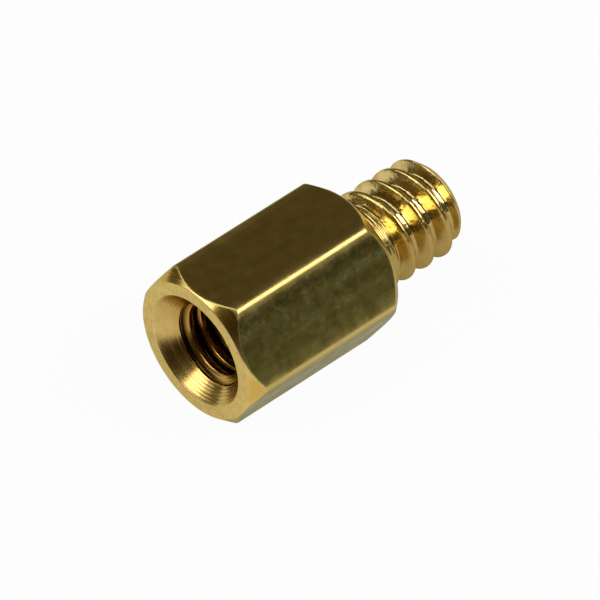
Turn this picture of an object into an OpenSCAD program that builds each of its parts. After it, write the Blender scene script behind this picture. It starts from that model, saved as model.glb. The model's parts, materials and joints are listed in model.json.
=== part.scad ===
// Hex standoff: a short spacer turned from hexagonal brass bar, in one piece.
// One end is a countersunk, tapped blind hole. The other is a threaded stud behind a flat shoulder.
// It lies on one of its flats, with its axis along X and the stud towards +X. Sizes are millimetres.

/* [Hex body] */
// Width across the flats of the bar
across_flats = 5; // [4:0.1:8]
// Length of the hex body, from the front face to the shoulder
body_length = 6.5; // [5:0.1:20]
// Depth that the drawn bar's blunt corners lose from sharp ones
corner_break = 0.045; // [0.02:0.005:0.1]

/* [End chamfers] */
// Width of the rim lost inside the flats at each turned end
rim_inset = 0.05; // [0.02:0.01:0.15]
// Angle between the chamfer cones and the end faces
chamfer_angle = 50; // [25:1:60]

/* [Tapped hole] */
// Diameter of the tapping hole, at the crests of the inner thread
hole_d = 2.5; // [2:0.05:3]
// Diameter of the countersink at the front face
countersink_d = 4; // [3.2:0.1:4.4]
// Full angle of the countersink
countersink_angle = 90; // [60:1:120]
// Full angle of the drill's point at the bottom of the hole
drill_angle = 118; // [90:1:140]
// Metal left between the drill's point and the shoulder
end_wall = 0.9; // [0.5:0.1:2]

/* [Stud] */
// Outer diameter of the stud, over the crests of its thread
stud_d = 3.4; // [2.4:0.05:4]
// Length of the stud, from the shoulder to its tip
stud_length = 3.8; // [2.5:0.1:10]
// Height of the lead chamfer at the tip
lead_chamfer = 0.4; // [0.1:0.05:0.6]

/* [Hidden] */
round_steps = 96;
sides = 6;
cut_margin = 0.5;
total_length = body_length + stud_length;

// Bar and chamfers
sharp_corner_r = across_flats / 2 / cos(180 / sides);
corner_r = sharp_corner_r - corner_break;
rim_r = across_flats / 2 - rim_inset;
chamfer_length = (corner_r - rim_r) * tan(chamfer_angle);

// Hole, measured inwards from the front face
hole_r = hole_d / 2;
countersink_r = countersink_d / 2;
countersink_slope = tan(countersink_angle / 2);
countersink_depth = (countersink_r - hole_r) / countersink_slope;
point_length = hole_r / tan(drill_angle / 2);
hole_depth = body_length - end_wall - point_length;

// Stud, measured outwards from the shoulder
stud_r = stud_d / 2;

// Revolves an outline of [radius, height] points into a true round solid
module turned(outline) {
    rotate_extrude($fn = round_steps)
        polygon(outline);
}

// The hexagonal bar, cut to length, with flats that face up and down once it lies on its side
module bar_blank() {
    rotate(180 / sides)
        cylinder(h = body_length, r = sharp_corner_r, $fn = sides);
}

// What the lathe leaves of the bar: a cone at each end and blunt corners between
module turned_envelope() {
    turned([
        [0, 0],
        [rim_r, 0],
        [corner_r, chamfer_length],
        [corner_r, body_length - chamfer_length],
        [rim_r, body_length],
        [0, body_length]
    ]);
}

// The countersink, the tapping hole and the drill's conical point
module tapping_hole() {
    turned([
        [0, -cut_margin],
        [countersink_r + cut_margin * countersink_slope, -cut_margin],
        [hole_r, countersink_depth],
        [hole_r, hole_depth],
        [0, hole_depth + point_length]
    ]);
}

// The stud with its lead chamfer, rooted in the body
module stud() {
    turned([
        [0, -end_wall / 2],
        [stud_r, -end_wall / 2],
        [stud_r, stud_length - lead_chamfer],
        [stud_r - lead_chamfer, stud_length],
        [0, stud_length]
    ]);
}

// Lays what is built upwards on its side, resting on one flat and centred along X
module lay_on_flat() {
    translate([-total_length / 2, 0, across_flats / 2])
        rotate([0, 90, 0])
            children();
}

module hex_standoff() {
    color("goldenrod")
        lay_on_flat()
            difference() {
                union() {
                    intersection() {
                        bar_blank();
                        turned_envelope();
                    }
                    translate([0, 0, body_length])
                        stud();
                }
                tapping_hole();
            }
}

hex_standoff();
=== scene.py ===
"""Looks of a brass hex standoff: its threads, eased edges, turned and drawn metal, and a small studio."""

import json
import math
from types import SimpleNamespace

import bpy
import numpy as np
from mathutils import Matrix, Vector


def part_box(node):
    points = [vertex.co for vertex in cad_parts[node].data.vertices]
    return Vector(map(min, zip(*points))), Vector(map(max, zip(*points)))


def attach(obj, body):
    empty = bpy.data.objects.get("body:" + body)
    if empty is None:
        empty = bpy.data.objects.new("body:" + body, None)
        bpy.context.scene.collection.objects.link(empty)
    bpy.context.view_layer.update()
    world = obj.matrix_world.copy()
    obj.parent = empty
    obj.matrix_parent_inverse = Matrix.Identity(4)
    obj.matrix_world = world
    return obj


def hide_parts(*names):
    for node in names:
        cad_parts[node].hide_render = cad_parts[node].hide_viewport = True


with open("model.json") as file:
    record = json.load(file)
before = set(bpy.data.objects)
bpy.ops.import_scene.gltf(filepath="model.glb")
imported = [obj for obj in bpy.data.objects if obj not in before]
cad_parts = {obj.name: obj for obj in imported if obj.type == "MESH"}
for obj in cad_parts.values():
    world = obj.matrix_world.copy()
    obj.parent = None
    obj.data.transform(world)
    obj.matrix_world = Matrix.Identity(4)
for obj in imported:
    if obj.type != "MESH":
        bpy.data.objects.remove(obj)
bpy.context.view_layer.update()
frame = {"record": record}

bl_info = {
    "name": "Brass hex standoff",
    "version": (1, 0, 0),
    "blender": (4, 5, 0),
    "location": "3D View > Sidebar > Standoff",
    "description": "Dresses the packed hex standoff with threads, eased edges and a brass finish",
    "category": "Object",
}

NODE = "hex_standoff"
PIECE = "brass_standoff"
MM = 0.001

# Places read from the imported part, in millimetres
LOW, HIGH = (np.array(corner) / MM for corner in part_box(NODE))
MOUNTS = {mount["name"]: mount for mount in frame["record"]["mounts"]}
FRONT_X = LOW[0]
AXIS_Z = (LOW[2] + HIGH[2]) / 2
SHOULDER_X = MOUNTS["shoulder"]["pos_m"][0] / MM
STUD_R = MOUNTS["stud"]["dims"]["r_mm"]
HOLE_R = MOUNTS["tapped_hole"]["dims"]["r_mm"]
HOLE_WALL = MOUNTS["tapped_hole"]["dims"]["length_mm"]

# Steps of the skin round one sector of the bar, and rows on each stretch of its outline
SIDES = 6
SECTOR = 2 * math.pi / SIDES
ARC_STEPS = 13
FLAT_STEPS = 25
FLAT_CROWD = 0.6
EDGE_ROWS = 5
FLAT_END_ROWS = 7
COUNTERSINK_ROWS = 4
CONE_ROWS = 5
FACE_ROWS = 6
FACE_CROWD = 0.8
BAR_ROWS = 15
BAR_CROWD = 0.95
TIP_CROWD = 0.5
DEEP_HOLE_ROWS = 48
NEAR_HOLE_ROWS = 96
NEAR_HOLE_TURNS = 4
STUD_ROWS_PER_TURN = 32

# Rings round the two poles, as shares of the radius
DRILL_RINGS = (0.04, 0.3, 0.6, 0.85, 0.97)
TIP_RING = 0.03

# Most of a chamfer cone's line that the easing of its inner and outer edge may take
RIM_EASE_SHARE = 0.3
CONE_EASE_SHARE = 0.45

# One point on each groove's centre line: distance along the axis in millimetres, and angle
INNER_START = (0.61, math.radians(-75.0))
STUD_START = (8.224, math.radians(127.0))

# Slope of both threads' flanks, and how many millimetres round off each meeting of two cuts
FLANK_SLOPE = math.tan(math.radians(60.0))
INNER_SOFTNESS = 0.02
COUNTERSINK_SOFTNESS = 0.012
STUD_SOFTNESS = 0.03
LEAD_SOFTNESS = 0.025

# The tapped wall: how far its rows start before the first root, and where its groove fades, from the bottom
TAPPED_LEAD = 0.06
INNER_FADE = (1.1, 0.4)

# The stud: room for the eased edges at its foot and tip, more easing at the foot, and the run-out's lead
FOOT_GAP = 0.05
TIP_GAP = 0.06
FOOT_EASE = 0.02
RUN_OUT_LEAD = 0.2

# Fine lines by the shoulder: how many in a turn, how deep, and where they fade
TOOL_LINES = 6
TOOL_LINE_DEPTH = 0.025
TOOL_LINE_FADE = (0.2, 1.9)

# Shares of finish, and of the hole's painted shade, that the skin keeps at every point
SHARES = ("drawn", "faced", "coned", "rubbed", "grooved", "hidden")

# Where they fade: away from a long corner, up a chamfer cone, and the hole's painted shade past the
# countersink and down the hole
RUBBED_FADE = (0.1, 0.34)
CONED_FADE = (0.08, 0.25)
SHADE_PAST_CONE = (0.0, 0.1)
SHADE_DOWN_HOLE = (0.2, 0.9)

# Share of browner tone on the countersink, and the most painted shade that depth alone gives below it
COUNTERSINK_BROWN = 0.28
DEEP_SHADE = 0.7

# Scale, detail and roughness of each noise on the brass
NOISES = {
    "blotch": (2.0, 3.0, 0.5),
    "speck": (5.0, 5.0, 0.75),
    "chatter": (3.0, 2.0, 0.5),
    "bands": (1.0, 2.0, 0.5),
    "rings": (9.0, 3.0, 0.55),
}

# How the bands are stretched, how far the rings shift the feed marks, and the Y and Z of the low side
BAND_STRETCH = (0.03, 2.2, 2.2)
RING_SHIFT = 5.0
LOW_SIDE = (-0.8, -0.6)

# How a mark fades on the brass: the range that it is read over, and what it gives at the two ends
FADES = {
    "stud": (SHOULDER_X, SHOULDER_X + 0.1, 0.0, 1.0),
    # Painted shade: the flats on the -Y side are made darker and olive, on that side only
    "painted_shade_side": (-1.6, -1.35, 1.0, 0.06),
    "brown_bands": (0.38, 0.62, 0.0, 1.0),
    "soft_mottle": (0.45, 0.62, 0.0, 0.4),
    "fine_mottle": (0.36, 0.56, 0.1, 0.95),
    "heavy_border": (0.3, 0.7, -0.5, 0.5),
    "heavy_height": (0.5, 2.0, 0.0, 0.95),
    "heavy_specks": (0.42, 0.58, 0.45, 1.0),
    "face_stains": (0.45, 0.65, 0.0, 0.5),
    # Painted shade: brown laid low on the stud's -Y side; the spots all over the stud are a random brown
    # tone
    "shade_border": (0.3, 0.7, -0.3, 0.3),
    "shaded_low_side": (0.05, 0.8, 0.0, 1.0),
    "worn_spots": (0.46, 0.62, 0.0, 0.6),
    "scuffed_side": (0.6, 1.1, 0.0, 0.13),
    "inner_root": (HOLE_R + 0.05, HOLE_R + 0.16, 0.0, 1.0),
    "down_hole": (0.5, 1.0, 0.0, 1.0),
}

# Share of dull brass on the rubbed corners
RUBBED_COLOUR = 0.8

# Roughness: the ranges of the noises, how far they carry it, and what each finish adds or takes
RING_RANGE = (0.3, 0.7)
TURNED_SPREAD = (-0.05, 0.08)
DRAWN_MIX = (0.6, 0.4)
DRAWN_RANGE = (0.35, 0.65)
DRAWN_SPREAD = (-0.06, 0.1)
GROOVE_POLISH = 0.1
CONE_POLISH = 0.04
RUBBED_DULLING = 0.12

# Heights of the bump's layers, in steps of a hundredth of a millimetre
BUMP_STEP = 0.01 * MM
BUMP_STRENGTH = 0.35
RING_HEIGHT = 0.6
FEED_HEIGHT = 0.3
CHATTER_HEIGHT = 7.0
BAND_HEIGHT = 0.04

# Each lamp: its glow's property, the way to it, the way its tall side runs, distance, width and height
UP = (0.0, 0.0, 1.0)
LAMPS = {
    "key_lamp": ("key_glow", (0.4, -0.56, 0.726), (0.82, 0.55, 0.16), 0.45, 0.24, 0.36),
    "back_lamp": ("back_glow", (-0.705, 0.375, 0.602), UP, 0.45, 0.24, 0.18),
    "top_lamp": ("top_glow", (-0.25, 0.0, 0.97), (0.0, 1.0, 0.0), 0.6, 0.4, 0.4),
    "side_lamp": ("side_glow", (-0.354, 0.76, 0.545), UP, 0.45, 0.24, 0.19),
}

# The floor, the dim screen round it and the dark card, in metres
FLOOR_HALF = 0.6
SCREEN_SIDES = 64
SCREEN_RADIUS = 0.55
SCREEN_HEIGHT = 0.05
CARD_X = -0.0125
CARD_Y = (0.0045, -0.0057)
CARD_HEIGHT = 0.004

# Shares of plain white that the floor shows to the camera and in the metal
FLOOR_SEEN = 0.955
FLOOR_MIRRORED = 0.45

# Where the room darkens towards the camera, and where it turns white, as parts of a unit vector
WHITE = (1.0, 1.0, 1.0)
DARK_RANGE = (0.8, 0.94)
HORIZON = (0.028, 0.034)

# The photograph's side, and the pixel that shows the point on the axis this many millimetres from the front
IMAGE_SIDE = 600
AIM_PIXEL = (275.92, 299.02)
AIM_ALONG = 3.5

# The camera's sensor in millimetres, and the metres that it sees between
SENSOR_WIDTH = 36.0
CLIP_START = 0.01
CLIP_END = 10.0


def length_property(name, description, millimetres):
    """A length that the sidebar shows in the scene's units, with its default given in millimetres."""
    return bpy.props.FloatProperty(
        name=name,
        description=description,
        default=millimetres * MM,
        min=0.0,
        precision=6,
        subtype="DISTANCE",
        unit="LENGTH",
    )


def angle_property(name, description, degrees):
    """An angle with its default given in degrees."""
    return bpy.props.FloatProperty(
        name=name,
        description=description,
        default=math.radians(degrees),
        subtype="ANGLE",
        unit="ROTATION",
    )


def number_property(name, description, value, high=1000.0):
    """A plain number between 0 and a limit."""
    return bpy.props.FloatProperty(
        name=name, description=description, default=value, min=0.0, max=high
    )


def colour_property(name, description, value):
    """A linear colour."""
    return bpy.props.FloatVectorProperty(
        name=name,
        description=description,
        default=value,
        min=0.0,
        max=1.0,
        size=3,
        subtype="COLOR",
    )


class StandoffSizes(bpy.types.PropertyGroup):
    """Sizes of the turned and threaded forms."""

    across_flats: length_property(
        "Across flats", "Width of the hexagonal bar", HIGH[2] - LOW[2]
    )
    body_length: length_property(
        "Body length", "From the front face to the shoulder", SHOULDER_X - FRONT_X
    )
    total_length: length_property(
        "Total length", "From the front face to the stud's tip", HIGH[0] - LOW[0]
    )
    corner_round: length_property(
        "Corner round", "Radius of the drawn bar's long corners", 0.292
    )
    rim_inset: length_property(
        "Rim inset", "Width of the rim lost inside the flats", 0.05
    )
    chamfer_angle: angle_property(
        "Chamfer angle", "Between the chamfer cones and the end faces", 50.0
    )
    edge_ease: length_property(
        "Edge ease", "How far each side of a turned edge its easing starts", 0.022
    )
    flat_ease: length_property(
        "Flat ease", "How far along the flats the easing of their curved ends runs", 0.055
    )
    cone_ease: length_property(
        "Cone ease", "How far down the chamfer cones that easing runs", 0.04
    )
    countersink_radius: length_property(
        "Countersink radius", "Radius of the countersink at the front face", 2.0
    )
    hole_radius: length_property(
        "Hole radius", "Radius at the inner thread's crests", HOLE_R
    )
    hole_wall: length_property(
        "Hole wall", "Length of the tapped wall below the countersink", HOLE_WALL
    )
    drill_angle: angle_property(
        "Drill angle", "Full angle of the drill's point", 118.0
    )
    inner_pitch: length_property(
        "Inner pitch", "Distance between neighbouring turns in the hole", 0.5
    )
    inner_depth: length_property(
        "Inner groove depth", "From crest to root of the inner thread", 0.26
    )
    inner_root: length_property(
        "Inner root", "Width of the flat at the root of the inner thread", 0.06
    )
    stud_pitch: length_property(
        "Stud pitch", "Distance between neighbouring turns on the stud", 0.794
    )
    stud_radius: length_property(
        "Stud radius", "Radius at the outer thread's crests", STUD_R
    )
    stud_depth: length_property(
        "Stud groove depth", "From crest to root of the outer thread", 0.44
    )
    stud_root: length_property(
        "Stud root", "Width of the flat at the root of the outer thread", 0.17
    )
    run_out: length_property(
        "Run-out", "Length over which the outer groove fades out at the shoulder", 1.35
    )
    lead_chamfer: length_property(
        "Lead chamfer", "Height of the chamfer at the stud's tip", 0.36
    )


class StandoffFinish(bpy.types.PropertyGroup):
    """Colours and polish of the brass."""

    bright_brass: colour_property(
        "Bright brass", "Freshly cut metal on the turned faces", (0.84, 0.62, 0.21)
    )
    dull_brass: colour_property(
        "Dull brass", "Drawn metal that has begun to tarnish, and its rubbed corners", (0.7, 0.52, 0.18)
    )
    drawn_brown: colour_property(
        "Drawn brown", "Darker bands on the flats and stains on the turned faces", (0.56, 0.4, 0.12)
    )
    # Painted shade: mottled olive tarnish laid on the -Y flats only, to darken that side
    olive_tarnish: colour_property(
        "Olive tarnish", "Mottled tarnish on the flats of the -Y side", (0.44, 0.41, 0.13)
    )
    # Painted shade: darker olive still, higher up those -Y flats
    dark_olive_and_shade: colour_property(
        "Dark olive", "Heavier tarnish high on those flats", (0.21, 0.195, 0.065)
    )
    cone_brass: colour_property(
        "Cone brass", "Browner metal on the chamfer cones", (0.72, 0.47, 0.11)
    )
    pale_brass: colour_property(
        "Pale brass", "Metal in the stud's groove", (0.82, 0.67, 0.32)
    )
    # Brown spots all over the stud, and painted shade low on its -Y side
    stud_brown_and_shade: colour_property(
        "Stud brown", "Duller metal low on the stud's -Y side, and spots all over it", (0.54, 0.38, 0.12)
    )
    # Painted shade down the tapped hole, on its crests and at the drill's end; a browner tone on the
    # countersink
    hole_shade_brown: colour_property(
        "Hole brown", "Oily brown film on the crests of the tapped hole", (0.56, 0.3, 0.06)
    )
    # Painted shade in the roots of the inner thread, deep in the hole
    root_brown: colour_property(
        "Root brown", "Dark residue in the roots of the inner thread", (0.1, 0.055, 0.015)
    )
    edge_tint: colour_property(
        "Edge tint", "Tint of the metal where it is seen at a grazing angle", (0.57, 0.56, 0.46)
    )
    stud_edge_tint: colour_property(
        "Stud edge tint", "The same in the stud's groove", (0.6, 0.56, 0.46)
    )
    turned_roughness: number_property(
        "Turned roughness", "Roughness of the turned faces", 0.22, 1.0
    )
    drawn_roughness: number_property(
        "Drawn roughness", "Roughness of the drawn flats", 0.21, 1.0
    )
    ring_width: length_property(
        "Ring width", "Step between the feed marks that the facing tool left", 0.085
    )


class StandoffStage(bpy.types.PropertyGroup):
    """The floor, the lamps, the room and the camera."""

    floor_colour: colour_property(
        "Floor", "Colour of the plain pale floor", (0.8, 0.8, 0.8)
    )
    surround: colour_property(
        "Surround", "The dim room and screen that the flats mirror", (0.092, 0.08, 0.047)
    )
    dark_side: colour_property(
        "Dark side", "The room round the camera, and the card by the tapped end", (0.03, 0.016, 0.008)
    )
    key_glow: number_property(
        "Key lamp", "Brightness of the key lamp's panel, where 1 is white", 3.8
    )
    back_glow: number_property(
        "Back lamp", "Brightness of the low lamp at the back left", 3.0
    )
    top_glow: number_property(
        "Top lamp", "Brightness of the overhead lamp", 1.5
    )
    side_glow: number_property(
        "Side lamp", "Brightness of the small lamp at the left", 1.0
    )
    view_turn: angle_property(
        "View turn", "How far the view is turned from the standoff's axis", 46.70
    )
    view_height: angle_property(
        "View height", "Height of the camera above the horizon", 43.78
    )
    view_roll: angle_property("View roll", "Roll of the camera", 0.62)
    view_distance: length_property(
        "View distance", "From the camera to the standoff", 342.0
    )
    scale_px: number_property(
        "Scale", "Pixels that show one millimetre of the standoff", 31.53
    )


def own_properties(group):
    """The properties that a group declares itself, without the two that every group has."""
    return [item for item in group.bl_rna.properties if item.identifier not in ("rna_type", "name")]


def sizes_in_millimetres(group):
    """The lengths of a property group in millimetres, and its angles in radians."""
    return {
        item.identifier: getattr(group, item.identifier) / (1 if item.subtype == "ANGLE" else MM)
        for item in own_properties(group)
    }


def smooth_step(low, high, value):
    """Rises smoothly from 0 at low to 1 at high: 3t^2 - 2t^3 of the clipped share t."""
    t = np.clip((value - low) / (high - low), 0.0, 1.0)
    return t * t * (3.0 - 2.0 * t)


def soft_max(a, b, width):
    """The larger of a and b, rounded where they cross: the mean plus half the root of gap^2 + width^2."""
    return (a + b + np.sqrt((a - b) ** 2 + width * width)) / 2


def inner_steps(count, crowd=0.0):
    """Even shares between 0 and 1, without the ends, drawn to both ends by a sine of height crowd."""
    t = np.arange(1, count + 1) / (count + 1)
    return t - crowd * np.sin(2 * np.pi * t) / (2 * np.pi)


def corner_centre(apothem, corner_round):
    """Radius of the centre of a corner's arc, which touches the flats on both sides."""
    return (apothem - corner_round) / math.cos(SECTOR / 2)


def from_corner(angle):
    """Angle to the nearest corner of the bar, always positive."""
    return np.abs((angle + SECTOR / 2) % SECTOR - SECTOR / 2)


def bar_angles(apothem, corner_round):
    """Angles round the bar, dense on the corners: even steps of the corner arc's own normal, then the flat.

    Angle 0 points along +Y, where a corner is, and angles grow towards +Z.
    """
    reach = corner_centre(apothem, corner_round)
    normal = np.linspace(-SECTOR / 2, SECTOR / 2, ARC_STEPS)
    arc = np.arctan2(
        corner_round * np.sin(normal), reach + corner_round * np.cos(normal)
    )
    flat = arc[-1] + (SECTOR - 2 * arc[-1]) * inner_steps(FLAT_STEPS, FLAT_CROWD)
    one_sector = np.concatenate([arc, flat])
    return (one_sector + SECTOR * np.arange(SIDES)[:, None]).ravel()


def bar_radius(angle, apothem, corner_round):
    """Radius of the drawn bar: a flat's line, apothem / cos, joined at each corner by a tangent arc."""
    offset = from_corner(angle)
    reach = corner_centre(apothem, corner_round)
    touch = math.atan2(
        corner_round * math.sin(SECTOR / 2),
        reach + corner_round * math.cos(SECTOR / 2),
    )
    flat = apothem / np.cos(SECTOR / 2 - offset)
    inside = np.maximum(corner_round**2 - (reach * np.sin(offset)) ** 2, 0.0)
    arc = reach * np.cos(offset) + np.sqrt(inside)
    return np.where(offset < touch, arc, flat)


def v_thread(turns, pitch, crest, depth, root, soft):
    """Radius of a 60 degree V thread cut into a cylinder of radius crest.

    turns counts pitches along the axis from a groove's centre line, less the helix's own turn. From the
    flat of the root the flanks rise at a slope of tan 60 degrees until they reach the crest, so a groove
    that is less deep is narrower too. Corners are rounded by soft.
    """
    away = np.abs((turns + 0.5) % 1.0 - 0.5) * pitch
    bottom = crest - depth
    flank = bottom + (away - root / 2) * FLANK_SLOPE
    return -soft_max(-crest, -soft_max(bottom, flank, soft), soft)


def helix_turns(along, angle, pitch, start):
    """Pitches from a right-hand groove's centre line, which runs through start, a distance and an angle."""
    return (along - start[0]) / pitch - (angle - start[1]) / (2 * math.pi)


def straight(start, end, steps, crowd=0.0):
    """Rows on a straight line between two outlines, without its ends, crowded towards both by crowd."""
    return start[None] + (end - start)[None] * inner_steps(steps, crowd)[:, None, None]


def eased(before, edge, after, reach, end_reach=None, steps=EDGE_ROWS):
    """Rows round an eased edge: a quadratic curve that starts reach before the edge and ends past it.

    The curve weighs its start, the edge itself and its end by (1 - t)^2, 2t(1 - t) and t^2.
    """

    def towards(point, distance):
        line = point - edge
        return edge + line / np.linalg.norm(line, axis=1, keepdims=True) * distance[:, None]

    start = towards(before, reach)
    end = towards(after, reach if end_reach is None else end_reach)
    t = np.linspace(0.0, 1.0, steps)[:, None, None]
    return (1 - t) ** 2 * start + 2 * t * (1 - t) * edge + t * t * end


def outline_point(angle, along, radius):
    """One point of the outline at every angle, as pairs of distance along the axis and radius."""
    shape = angle.shape
    return np.stack([np.broadcast_to(along, shape), np.broadcast_to(radius, shape)], 1)


def hole_rows(sizes, angle):
    """Rows of the tapped hole out to the countersink, the wall's share of painted shade, and the drill's
    end.

    The drill's point is a cone. The wall's radius is the larger of the countersink's 45 degree cone and
    the inner thread, whose groove follows a right-hand helix and fades out before the bottom. The painted
    shade grows past the countersink's cone and down the hole.
    """
    crest, pitch = sizes["hole_radius"], sizes["inner_pitch"]
    cone_depth = sizes["countersink_radius"] - crest
    bottom = cone_depth + sizes["hole_wall"]
    point = crest / math.tan(sizes["drill_angle"] / 2)
    drill_r = np.broadcast_to(crest * np.array(DRILL_RINGS)[:, None], (len(DRILL_RINGS), angle.size))
    drill = np.stack([bottom + point * (1 - drill_r / crest), drill_r], 2)

    top = cone_depth - sizes["inner_depth"] - TAPPED_LEAD
    middle = top + NEAR_HOLE_TURNS * pitch
    deep = np.linspace(bottom, middle, DEEP_HOLE_ROWS, endpoint=False)
    along = np.concatenate([deep, np.linspace(middle, top, NEAR_HOLE_ROWS)])[:, None]
    turns = helix_turns(along, angle[None], pitch, INNER_START)
    faded = smooth_step(bottom - INNER_FADE[0], bottom - INNER_FADE[1], along)
    depth = sizes["inner_depth"] * (1 - faded)
    threaded = 2 * crest - v_thread(turns, pitch, crest, depth, sizes["inner_root"], INNER_SOFTNESS)
    cone = sizes["countersink_radius"] - along
    radius = soft_max(threaded, np.broadcast_to(cone, threaded.shape), COUNTERSINK_SOFTNESS)
    wall = np.stack([np.broadcast_to(along, radius.shape), radius], 2)

    # Painted shade: it grows past the countersink's cone and down the hole
    past_cone = smooth_step(*SHADE_PAST_CONE, radius - cone)
    hole_shade = np.maximum(past_cone, DEEP_SHADE * smooth_step(*SHADE_DOWN_HOLE, along))
    hole_shade = COUNTERSINK_BROWN + (1 - COUNTERSINK_BROWN) * hole_shade
    return drill, wall, hole_shade, bottom + point


def stud_rows(sizes, angle):
    """Rows of the threaded stud, from its foot to the lead chamfer, and each point's depth in the groove.

    The radius is the smaller of the thread and the chamfer's 45 degree cone. The groove follows a
    right-hand helix and runs out towards the shoulder, where a cosine of its turns gives the fine lines
    that the tool left on the crests.
    """
    crest, pitch = sizes["stud_radius"], sizes["stud_pitch"]
    foot = sizes["body_length"] + FOOT_GAP
    end = sizes["total_length"] - TIP_GAP
    steps = int(round((end - foot) / (pitch / STUD_ROWS_PER_TURN)))
    along = np.linspace(foot, end, steps)[:, None]
    turns = helix_turns(along, angle[None], pitch, STUD_START)
    depth = sizes["stud_depth"] * smooth_step(-RUN_OUT_LEAD, sizes["run_out"], along - foot)
    threaded = v_thread(turns, pitch, crest, depth, sizes["stud_root"], STUD_SOFTNESS)
    tool_lines = 0.5 - 0.5 * np.cos(2 * math.pi * TOOL_LINES * turns)
    line_fade = 1 - smooth_step(*TOOL_LINE_FADE, along - foot)
    threaded = threaded - TOOL_LINE_DEPTH * tool_lines * line_fade
    chamfer = crest - sizes["lead_chamfer"] + sizes["total_length"] - along
    chamfer = np.broadcast_to(chamfer, threaded.shape)
    radius = -soft_max(-threaded, -chamfer, LEAD_SOFTNESS)
    rows = np.stack([np.broadcast_to(along, radius.shape), radius], 2)
    return rows, (crest - threaded) / sizes["stud_depth"]


def standoff_surface(sizes):
    """The whole standoff as one closed skin: rows of outline points, each a ring round the axis.

    The outline runs from the drill's point up the tapped hole, over the countersink and the front rim,
    along the bar and down the shoulder, and out along the stud to its tip. At every angle the turned
    cones end where they meet the bar's own radius, which gives the curved ends of the flats.
    """
    apothem = sizes["across_flats"] / 2
    angle = bar_angles(apothem, sizes["corner_round"])
    bar = bar_radius(angle, apothem, sizes["corner_round"])
    rim = apothem - sizes["rim_inset"]
    cone = (bar - rim) * math.tan(sizes["chamfer_angle"])
    cone_line = np.hypot(bar - rim, cone)
    back = sizes["body_length"]
    tip = sizes["total_length"]

    ease = np.full(angle.shape, sizes["edge_ease"])
    rim_ease = np.minimum(ease, RIM_EASE_SHARE * cone_line)
    flat_ease = np.full(angle.shape, sizes["flat_ease"])
    cone_ease = np.minimum(sizes["cone_ease"], CONE_EASE_SHARE * cone_line)
    rubbed = 1 - smooth_step(*RUBBED_FADE, from_corner(angle) * bar)
    coned = smooth_step(*CONED_FADE, bar - rim)

    drill, wall, hole_shade, drill_end = hole_rows(sizes, angle)
    stud, groove = stud_rows(sizes, angle)
    mouth = outline_point(angle, 0.0, sizes["countersink_radius"])
    front_rim = outline_point(angle, 0.0, rim)
    front_edge = outline_point(angle, cone, bar)
    back_edge = outline_point(angle, back - cone, bar)
    back_rim = outline_point(angle, back, rim)
    foot = outline_point(angle, back, sizes["stud_radius"])
    tip_edge = outline_point(angle, tip, sizes["stud_radius"] - sizes["lead_chamfer"])
    tip_centre = outline_point(angle, tip, 0.0)
    near_tip = TIP_RING * tip_edge + (1 - TIP_RING) * tip_centre

    mouth_rows = eased(wall[-1], mouth, front_rim, ease)
    front_rim_rows = eased(mouth, front_rim, front_edge, rim_ease)
    front_edge_rows = eased(front_rim, front_edge, back_edge, cone_ease, flat_ease, FLAT_END_ROWS)
    back_edge_rows = eased(front_edge, back_edge, back_rim, flat_ease, cone_ease, FLAT_END_ROWS)
    back_rim_rows = eased(back_edge, back_rim, foot, rim_ease)
    foot_rows = eased(back_rim, foot, stud[0], ease + FOOT_EASE)
    tip_rows = eased(stud[-1], tip_edge, tip_centre, ease)

    # Each stretch of rows with its shares of finish and of the hole's painted shade, where a share that
    # isn't named is 0
    face = {"faced": 1.0}
    sunk_face = {"faced": 1.0, "hidden": COUNTERSINK_BROWN}
    cone_rim = {"faced": 0.5, "coned": coned / 2}
    cone_face = {"faced": 0.5, "coned": coned}
    flat_end = {"drawn": 0.4, "rubbed": rubbed}
    flat = {"drawn": 1.0, "rubbed": rubbed}
    stretches = [
        (drill, {"hidden": 1.0}),
        (wall, {"faced": 1.0, "hidden": hole_shade}),
        (straight(wall[-1], mouth_rows[0], COUNTERSINK_ROWS), sunk_face),
        (mouth_rows, face),
        (straight(mouth_rows[-1], front_rim_rows[0], FACE_ROWS, FACE_CROWD), face),
        (front_rim_rows, cone_rim),
        (straight(front_rim_rows[-1], front_edge_rows[0], CONE_ROWS), cone_face),
        (front_edge_rows, flat_end),
        (straight(front_edge_rows[-1], back_edge_rows[0], BAR_ROWS, BAR_CROWD), flat),
        (back_edge_rows, flat_end),
        (straight(back_edge_rows[-1], back_rim_rows[0], CONE_ROWS), cone_face),
        (back_rim_rows, cone_rim),
        (straight(back_rim_rows[-1], foot_rows[0], FACE_ROWS, FACE_CROWD), face),
        (foot_rows, {"faced": 0.2}),
        (stud, {"faced": 0.1, "grooved": groove}),
        (tip_rows, {"faced": 0.5}),
        (straight(tip_rows[-1], near_tip, FACE_ROWS, TIP_CROWD), face),
    ]
    rows = np.concatenate([stretch for stretch, _ in stretches])
    shares = {
        name: np.concatenate(
            [np.broadcast_to(held.get(name, 0.0), stretch.shape[:2]) for stretch, held in stretches]
        )
        for name in SHARES
    }
    return angle, rows, shares, (drill_end, tip)


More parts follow.
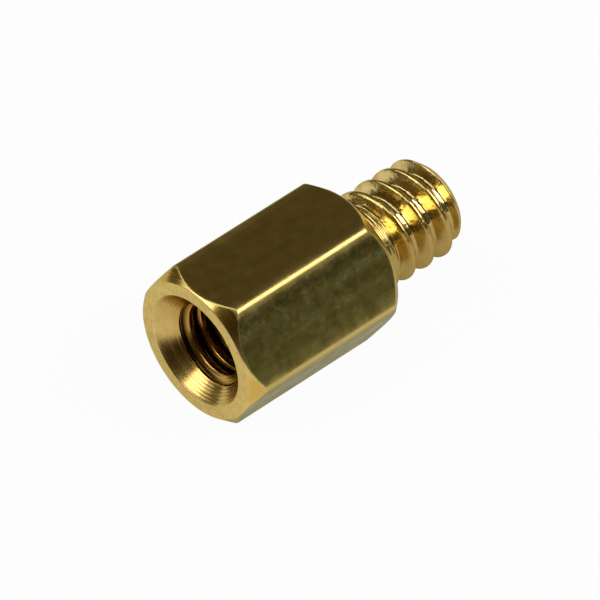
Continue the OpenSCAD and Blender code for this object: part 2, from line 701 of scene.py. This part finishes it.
def closed_skin(name, angle, rows, poles):
    """A mesh from rings of outline points: quads between rings, and a fan of triangles at each pole.

    A point lies its distance along X, and its radius times the cosine and the sine of its angle along Y
    and Z, from the place where the axis meets the front face.
    """
    count, around = rows.shape[:2]
    along, radius = rows[..., 0], rows[..., 1]
    ring = np.stack(
        [
            FRONT_X + along,
            radius * np.cos(angle)[None],
            AXIS_Z + radius * np.sin(angle)[None],
        ],
        2,
    ).reshape(-1, 3)
    ends = np.array([[FRONT_X + pole, 0.0, AXIS_Z] for pole in poles])
    points = np.concatenate([ring, ends]) * MM

    index = np.arange(count * around).reshape(count, around)
    turned = np.roll(index, -1, axis=1)
    quads = np.stack([index[:-1], turned[:-1], turned[1:], index[1:]], 2).reshape(-1, 4)
    first, last = count * around, count * around + 1
    fan_in = np.stack([np.full(around, first), turned[0], index[0]], 1)
    fan_out = np.stack([np.full(around, last), index[-1], turned[-1]], 1)
    mesh = bpy.data.meshes.new(name)
    faces = quads.tolist() + fan_in.tolist() + fan_out.tolist()
    mesh.from_pydata(points.tolist(), [], faces)
    mesh.polygons.foreach_set("use_smooth", np.ones(len(faces), bool))
    mesh.update()
    return mesh


def store_share(mesh, name, values):
    """Keeps a share between 0 and 1 at every point of the mesh, with 0 at the two poles."""
    layer = mesh.attributes.new(name, "FLOAT", "POINT")
    layer.data.foreach_set("value", np.append(values.ravel(), [0.0, 0.0]).astype(np.float32))


class NodeBench:
    """Short words for placing and joining shader nodes."""

    def __init__(self, tree):
        tree.nodes.clear()
        self.tree = tree

    def add(self, kind, **settings):
        """A new node with the given settings."""
        node = self.tree.nodes.new(kind)
        for key, value in settings.items():
            setattr(node, key, value)
        return node

    def join(self, value, socket):
        """Links an output to a socket, or sets the socket to a number, a vector or an opaque colour."""
        if isinstance(value, bpy.types.NodeSocket):
            self.tree.links.new(value, socket)
        elif socket.type == "RGBA":
            socket.default_value = (*value, 1.0)
        else:
            socket.default_value = value

    def close(self, shader, kind="ShaderNodeOutputMaterial"):
        """Ends the tree with a shader as its surface."""
        self.join(shader.outputs[0], self.add(kind).inputs["Surface"])

    def calc(self, operation, *values):
        """The result of one Math node."""
        node = self.add("ShaderNodeMath", operation=operation)
        for value, socket in zip(values, node.inputs):
            self.join(value, socket)
        return node.outputs[0]

    def plus(self, first, second):
        """A sum."""
        return self.calc("ADD", first, second)

    def times(self, first, second):
        """A product."""
        return self.calc("MULTIPLY", first, second)

    def fit(self, value, from_low, from_high, to_low=0.0, to_high=1.0):
        """A value carried from one range to another and clipped there."""
        node = self.add("ShaderNodeMapRange", clamp=True)
        for number, socket in zip((value, from_low, from_high, to_low, to_high), node.inputs):
            self.join(number, socket)
        return node.outputs[0]

    def fade(self, value, name):
        """A mark carried through one of the named fades."""
        return self.fit(value, *FADES[name])

    def mix(self, share, first, second, data_type, kind):
        """A mix of two values of one kind, whose sockets carry that kind in their identifiers."""
        node = self.add("ShaderNodeMix", data_type=data_type)
        sockets = {socket.identifier: socket for socket in node.inputs}
        self.join(share, sockets["Factor_Float"])
        self.join(first, sockets["A_" + kind])
        self.join(second, sockets["B_" + kind])
        return next(socket for socket in node.outputs if socket.identifier == "Result_" + kind)

    def blend(self, share, first, second):
        """A mix of two colours."""
        return self.mix(share, first, second, "RGBA", "Color")

    def between(self, share, first, second):
        """A mix of two numbers."""
        return self.mix(share, first, second, "FLOAT", "Float")

    def stretch(self, vector, factors):
        """A vector times three factors."""
        node = self.add("ShaderNodeVectorMath", operation="MULTIPLY")
        self.join(vector, node.inputs[0])
        self.join(factors, node.inputs[1])
        return node.outputs[0]

    def noise(self, vector, name):
        """One of the named fractal noises, between 0 and 1."""
        node = self.add("ShaderNodeTexNoise")
        self.join(vector, node.inputs["Vector"])
        for label, value in zip(("Scale", "Detail", "Roughness"), NOISES[name]):
            self.join(value, node.inputs[label])
        return node.outputs[0]

    def share(self, name):
        """A share of finish that the skin keeps."""
        return self.add("ShaderNodeAttribute", attribute_name=name).outputs["Fac"]


def new_material(name):
    """An empty material and a bench for its nodes."""
    material = bpy.data.materials.new(name)
    material.use_nodes = True
    return material, NodeBench(material.node_tree)


def brass_marks(bench, ring_width):
    """All that the brass is mixed by: places, noises and the skin's shares of finish.

    Object coordinates in millimetres, centred on the axis, give the distance along the axis and the
    radius. Noise stretched along the axis draws the bar's bands, and noise on the radius and the length
    alone draws the lathe's rings. A sine of the radius, shifted by the rings, gives the feed marks.
    """
    centred = bench.add("ShaderNodeMapping")
    bench.join(bench.add("ShaderNodeTexCoord").outputs["Object"], centred.inputs["Vector"])
    bench.join((1 / MM,) * 3, centred.inputs["Scale"])
    bench.join((0.0, 0.0, -AXIS_Z), centred.inputs["Location"])
    spot = centred.outputs[0]
    split = bench.add("ShaderNodeSeparateXYZ")
    bench.join(spot, split.inputs[0])
    x, y, z = split.outputs
    radius = bench.calc("SQRT", bench.plus(bench.times(y, y), bench.times(z, z)))
    ring_spot = bench.add("ShaderNodeCombineXYZ")
    bench.join(radius, ring_spot.inputs[0])
    bench.join(x, ring_spot.inputs[1])
    rings = bench.noise(ring_spot.outputs[0], "rings")
    feed = bench.times(radius, 2 * math.pi * MM / ring_width)
    return SimpleNamespace(
        y=y,
        z=z,
        radius=radius,
        blotch=bench.noise(spot, "blotch"),
        speck=bench.noise(spot, "speck"),
        chatter=bench.noise(spot, "chatter"),
        bands=bench.noise(bench.stretch(spot, BAND_STRETCH), "bands"),
        rings=rings,
        feed_marks=bench.calc("SINE", bench.plus(feed, bench.times(rings, RING_SHIFT))),
        on_stud=bench.fade(x, "stud"),
        low_side=bench.plus(bench.times(y, LOW_SIDE[0]), bench.times(z, LOW_SIDE[1])),
        **{name: bench.share(name) for name in SHARES},
    )


def brass_colour(bench, finish, marks):
    """The metal's colour: bright brass under layers of finish and painted shade, each laid on by its own
    share.
    """
    # Painted shade on the -Y flats: the olive mottle and its darker patches are laid on that side only
    shaded_side = bench.times(bench.fade(marks.y, "painted_shade_side"), marks.drawn)
    mottle = bench.plus(bench.fade(marks.blotch, "soft_mottle"), bench.fade(marks.speck, "fine_mottle"))
    height = bench.plus(marks.z, bench.fade(marks.blotch, "heavy_border"))
    heavy = bench.times(bench.fade(height, "heavy_height"), bench.fade(marks.speck, "heavy_specks"))
    # Painted shade low on the stud's -Y side, and random brown spots all over the stud
    spots_and_shade = bench.plus(marks.low_side, bench.fade(marks.blotch, "shade_border"))
    spots_and_shade = bench.calc(
        "MAXIMUM", bench.fade(spots_and_shade, "shaded_low_side"), bench.fade(marks.chatter, "worn_spots")
    )
    # Painted shade: darker still in the inner thread's roots, deep in the hole
    in_root = bench.times(bench.fade(marks.radius, "inner_root"), bench.fade(marks.hidden, "down_hole"))
    layers = (
        (marks.drawn, finish.dull_brass),
        (bench.times(bench.fade(marks.bands, "brown_bands"), marks.drawn), finish.drawn_brown),
        (bench.calc("MINIMUM", bench.times(mottle, shaded_side), 1.0), finish.olive_tarnish),
        (bench.times(heavy, shaded_side), finish.dark_olive_and_shade),
        (bench.times(bench.fade(marks.speck, "face_stains"), marks.faced), finish.drawn_brown),
        (bench.times(marks.rubbed, RUBBED_COLOUR), finish.dull_brass),
        (marks.coned, finish.cone_brass),
        (marks.grooved, finish.pale_brass),
        (bench.times(marks.on_stud, spots_and_shade), finish.stud_brown_and_shade),
        # Painted shade in the hole, and a browner tone on the countersink
        (marks.hidden, bench.blend(in_root, finish.hole_shade_brown, finish.root_brown)),
    )
    colour = finish.bright_brass
    for share, layer in layers:
        colour = bench.blend(share, colour, layer)
    return colour


def brass_roughness(bench, finish, marks):
    """Roughness: turned metal varies with its rings and drawn metal with blotches and bands.

    The groove and the cones are smoother, and the rubbed corners and the stud's low side are rougher.
    """
    turned = bench.fit(
        marks.rings, *RING_RANGE, *(finish.turned_roughness + step for step in TURNED_SPREAD)
    )
    clouds = bench.plus(
        bench.times(marks.blotch, DRAWN_MIX[0]), bench.times(marks.bands, DRAWN_MIX[1])
    )
    drawn = bench.fit(
        clouds, *DRAWN_RANGE, *(finish.drawn_roughness + step for step in DRAWN_SPREAD)
    )
    rough = bench.between(marks.drawn, turned, drawn)
    smoother = bench.plus(
        bench.times(marks.grooved, GROOVE_POLISH), bench.times(marks.coned, CONE_POLISH)
    )
    scuffed = bench.times(bench.fade(marks.low_side, "scuffed_side"), marks.on_stud)
    rougher = bench.plus(bench.times(marks.rubbed, RUBBED_DULLING), scuffed)
    return bench.plus(bench.calc("SUBTRACT", rough, smoother), rougher)


def brass_bump(bench, marks):
    """Fine relief: rings and feed marks on turned metal, waves on the stud, faint bands on drawn metal."""
    feed = bench.times(bench.times(marks.feed_marks, marks.faced), FEED_HEIGHT)
    turned = bench.plus(bench.times(marks.rings, RING_HEIGHT), feed)
    waves = bench.times(bench.times(marks.chatter, CHATTER_HEIGHT), marks.on_stud)
    drawn = bench.times(marks.bands, BAND_HEIGHT)
    relief = bench.between(marks.drawn, bench.plus(turned, waves), drawn)
    bump = bench.add("ShaderNodeBump")
    bench.join(BUMP_STRENGTH, bump.inputs["Strength"])
    bench.join(BUMP_STEP, bump.inputs["Distance"])
    bench.join(relief, bump.inputs["Height"])
    return bump.outputs[0]


def brass_material(finish):
    """Drawn and turned brass, with its own tint at grazing angles."""
    material, bench = new_material("drawn_and_turned_brass")
    marks = brass_marks(bench, finish.ring_width)
    shader = bench.add("ShaderNodeBsdfPrincipled")
    grazing = bench.blend(marks.grooved, finish.edge_tint, finish.stud_edge_tint)
    bench.join(1.0, shader.inputs["Metallic"])
    bench.join(grazing, shader.inputs["Specular Tint"])
    bench.join(brass_colour(bench, finish, marks), shader.inputs["Base Color"])
    bench.join(brass_roughness(bench, finish, marks), shader.inputs["Roughness"])
    bench.join(brass_bump(bench, marks), shader.inputs["Normal"])
    bench.close(shader)
    return material


class STANDOFF_OT_turned_piece(bpy.types.Operator):
    """Build the standoff's body, tapped hole and threaded stud as one brass piece."""

    bl_idname = "standoff.turned_piece"
    bl_label = "Turned brass piece"
    bl_options = {"REGISTER", "UNDO"}

    def execute(self, context):
        sizes = sizes_in_millimetres(context.scene.standoff_sizes)
        angle, rows, shares, poles = standoff_surface(sizes)
        mesh = closed_skin(PIECE, angle, rows, poles)
        for name, values in shares.items():
            store_share(mesh, name, values)
        mesh.materials.append(brass_material(context.scene.standoff_finish))
        piece = bpy.data.objects.new(PIECE, mesh)
        context.scene.collection.objects.link(piece)
        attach(piece, "root")
        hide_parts(NODE)
        return {"FINISHED"}


def placed(right, up, back, place):
    """The matrix of a lamp or a camera at a place, with its own X, Y and Z pointing right, up and back."""
    matrix = Matrix((right, up, back)).transposed().to_4x4()
    matrix.translation = place
    return matrix


def panel_lamp(name, glow, towards, tall_along, distance, wide, tall):
    """A flat lamp that faces the standoff from a direction, with a glow where 1 looks white.

    Its tall side runs along tall_along. A panel of area A and glow L gives pi * A * L watts.
    """
    lamp = bpy.data.lights.new(name, "AREA")
    lamp.shape = "RECTANGLE"
    lamp.size = wide
    lamp.size_y = tall
    lamp.energy = math.pi * wide * tall * glow
    holder = bpy.data.objects.new(name, lamp)
    direction = Vector(towards).normalized()
    across = Vector(tall_along).cross(direction).normalized()
    place = direction * distance + Vector((0.0, 0.0, AXIS_Z * MM))
    holder.matrix_world = placed(across, direction.cross(across), direction, place)
    holder.visible_camera = False
    bpy.context.scene.collection.objects.link(holder)


def floor_material(colour):
    """A pale matt floor that takes the lamps' shadow, and shows white to the camera and in the metal."""
    material, bench = new_material("pale_floor")
    path = bench.add("ShaderNodeLightPath")
    mirrored = bench.calc(
        "MAXIMUM", path.outputs["Is Glossy Ray"], path.outputs["Is Transmission Ray"]
    )
    seen = bench.calc(
        "MAXIMUM",
        bench.times(path.outputs["Is Camera Ray"], FLOOR_SEEN),
        bench.times(mirrored, FLOOR_MIRRORED),
    )
    matt = bench.add("ShaderNodeBsdfDiffuse")
    bench.join(colour, matt.inputs["Color"])
    white = bench.add("ShaderNodeEmission")
    bench.join(WHITE, white.inputs["Color"])
    mix = bench.add("ShaderNodeMixShader")
    bench.join(seen, mix.inputs[0])
    bench.join(matt.outputs[0], mix.inputs[1])
    bench.join(white.outputs[0], mix.inputs[2])
    bench.close(mix)
    return material


def glow_material(name, colour):
    """An even glow of one colour."""
    material, bench = new_material(name)
    glow = bench.add("ShaderNodeEmission")
    bench.join(colour, glow.inputs["Color"])
    bench.close(glow)
    return material


def stage_object(name, points, faces, material):
    """A mesh of the stage, linked to the scene."""
    mesh = bpy.data.meshes.new(name)
    mesh.from_pydata(points, [], faces)
    mesh.materials.append(material)
    made = bpy.data.objects.new(name, mesh)
    bpy.context.scene.collection.objects.link(made)
    return made


def add_floor(colour):
    """A square floor under the standoff."""
    half = FLOOR_HALF
    points = [(-half, -half, 0.0), (half, -half, 0.0), (half, half, 0.0), (-half, half, 0.0)]
    floor = stage_object("floor", points, [(0, 1, 2, 3)], floor_material(colour))


def add_screen(colour):
    """A low dim screen all round the floor, which keeps the pale horizon out of the metal.

    It is a ring of upright quads between two circles, and the camera doesn't see it.
    """
    angle = np.linspace(0.0, 2 * math.pi, SCREEN_SIDES, endpoint=False)
    ring = SCREEN_RADIUS * np.stack([np.cos(angle), np.sin(angle)], 1)
    low = np.column_stack([ring, np.zeros(SCREEN_SIDES)])
    high = np.column_stack([ring, np.full(SCREEN_SIDES, SCREEN_HEIGHT)])
    index = np.arange(SCREEN_SIDES)
    after = np.roll(index, -1)
    faces = np.stack([index, index + SCREEN_SIDES, after + SCREEN_SIDES, after], 1)
    points = np.concatenate([low, high])
    material = glow_material("dim_screen", colour)
    screen = stage_object("dim_screen", points.tolist(), faces.tolist(), material)
    screen.visible_camera = False


def add_dark_card(colour):
    """A small dark card before the tapped end, which the countersink mirrors and the camera doesn't see."""
    left, right = CARD_Y
    points = [
        (CARD_X, left, 0.0),
        (CARD_X, right, 0.0),
        (CARD_X, right, CARD_HEIGHT),
        (CARD_X, left, CARD_HEIGHT),
    ]
    card = stage_object("dark_card", points, [(0, 1, 2, 3)], glow_material("dark_card", colour))
    card.visible_camera = False
    card.visible_shadow = False
    card.visible_diffuse = False


def camera_side(stage):
    """Unit vector from the standoff towards the camera."""
    turn, height = stage.view_turn, stage.view_height
    level = math.cos(height)
    return Vector((-level * math.cos(turn), -level * math.sin(turn), math.sin(height)))


def add_surround(stage):
    """A dim room, darkest round the camera, and white below the horizon."""
    world = bpy.data.worlds.new("dim_room")
    bpy.context.scene.world = world
    world.use_nodes = True
    bench = NodeBench(world.node_tree)
    way = bench.add("ShaderNodeTexCoord").outputs["Generated"]
    split = bench.add("ShaderNodeSeparateXYZ")
    bench.join(way, split.inputs[0])
    facing = bench.add("ShaderNodeVectorMath", operation="DOT_PRODUCT")
    bench.join(way, facing.inputs[0])
    bench.join(camera_side(stage), facing.inputs[1])
    dark = bench.fit(facing.outputs["Value"], *DARK_RANGE)
    room = bench.blend(dark, stage.surround, stage.dark_side)
    tint = bench.blend(bench.fit(split.outputs[2], *HORIZON), WHITE, room)
    back = bench.add("ShaderNodeBackground")
    bench.join(tint, back.inputs["Color"])
    bench.close(back, "ShaderNodeOutputWorld")


def add_camera(stage):
    """The camera at the photograph's angle, aimed so that the standoff sits where the photograph has it."""
    turn, roll = stage.view_turn, stage.view_roll
    back = camera_side(stage)
    level = Vector((math.sin(turn), -math.cos(turn), 0.0))
    upright = back.cross(level)
    right = math.cos(roll) * level + math.sin(roll) * upright
    up = math.cos(roll) * upright - math.sin(roll) * level
    middle = (IMAGE_SIDE - 1) / 2
    aim = (
        Vector((FRONT_X + AIM_ALONG, 0.0, AXIS_Z))
        + right * ((middle - AIM_PIXEL[0]) / stage.scale_px)
        - up * ((middle - AIM_PIXEL[1]) / stage.scale_px)
    )
    camera = bpy.data.cameras.new("camera")
    camera.sensor_width = SENSOR_WIDTH
    camera.lens = stage.scale_px * stage.view_distance / MM * SENSOR_WIDTH / IMAGE_SIDE
    camera.clip_start = CLIP_START
    camera.clip_end = CLIP_END
    holder = bpy.data.objects.new("camera", camera)
    holder.matrix_world = placed(right, up, back, aim * MM + back * stage.view_distance)
    bpy.context.scene.collection.objects.link(holder)
    bpy.context.scene.camera = holder


class STANDOFF_OT_stage(bpy.types.Operator):
    """Lay out the pale floor, the lamps, the dim room and the camera."""

    bl_idname = "standoff.stage"
    bl_label = "Studio"
    bl_options = {"REGISTER", "UNDO"}

    def execute(self, context):
        stage = context.scene.standoff_stage
        add_floor(stage.floor_colour)
        add_surround(stage)
        add_screen(stage.surround)
        add_dark_card(stage.dark_side)
        for name, (glow, *place) in LAMPS.items():
            panel_lamp(name, getattr(stage, glow), *place)
        add_camera(stage)
        context.scene.view_settings.view_transform = "Standard"
        return {"FINISHED"}


class STANDOFF_PT_sidebar(bpy.types.Panel):
    """Lists the standoff's sizes, finish and stage, with a button for the piece and one for the stage."""

    bl_idname = "STANDOFF_PT_sidebar"
    bl_label = "Hex standoff"
    bl_space_type = "VIEW_3D"
    bl_region_type = "UI"
    bl_category = "Standoff"

    def draw(self, context):
        scene = context.scene
        for title, group, button in (
            ("Sizes", scene.standoff_sizes, None),
            ("Finish", scene.standoff_finish, STANDOFF_OT_turned_piece.bl_idname),
            ("Stage", scene.standoff_stage, STANDOFF_OT_stage.bl_idname),
        ):
            box = self.layout.box()
            box.label(text=title)
            for item in own_properties(group):
                box.prop(group, item.identifier)
            if button:
                box.operator(button)


CLASSES = (
    StandoffSizes,
    StandoffFinish,
    StandoffStage,
    STANDOFF_OT_turned_piece,
    STANDOFF_OT_stage,
    STANDOFF_PT_sidebar,
)
GROUPS = {
    "standoff_sizes": StandoffSizes,
    "standoff_finish": StandoffFinish,
    "standoff_stage": StandoffStage,
}


def register():
    """Register the classes, and give every scene its sizes, finish and stage."""
    for item in CLASSES:
        bpy.utils.register_class(item)
    for name, group in GROUPS.items():
        setattr(bpy.types.Scene, name, bpy.props.PointerProperty(type=group))


def unregister():
    """Take back what register added."""
    for name in GROUPS:
        delattr(bpy.types.Scene, name)
    for item in reversed(CLASSES):
        bpy.utils.unregister_class(item)


def main():
    """Build the piece and the stage."""
    register()
    bpy.ops.standoff.turned_piece()
    bpy.ops.standoff.stage()


if __name__ == "__main__":
    main()
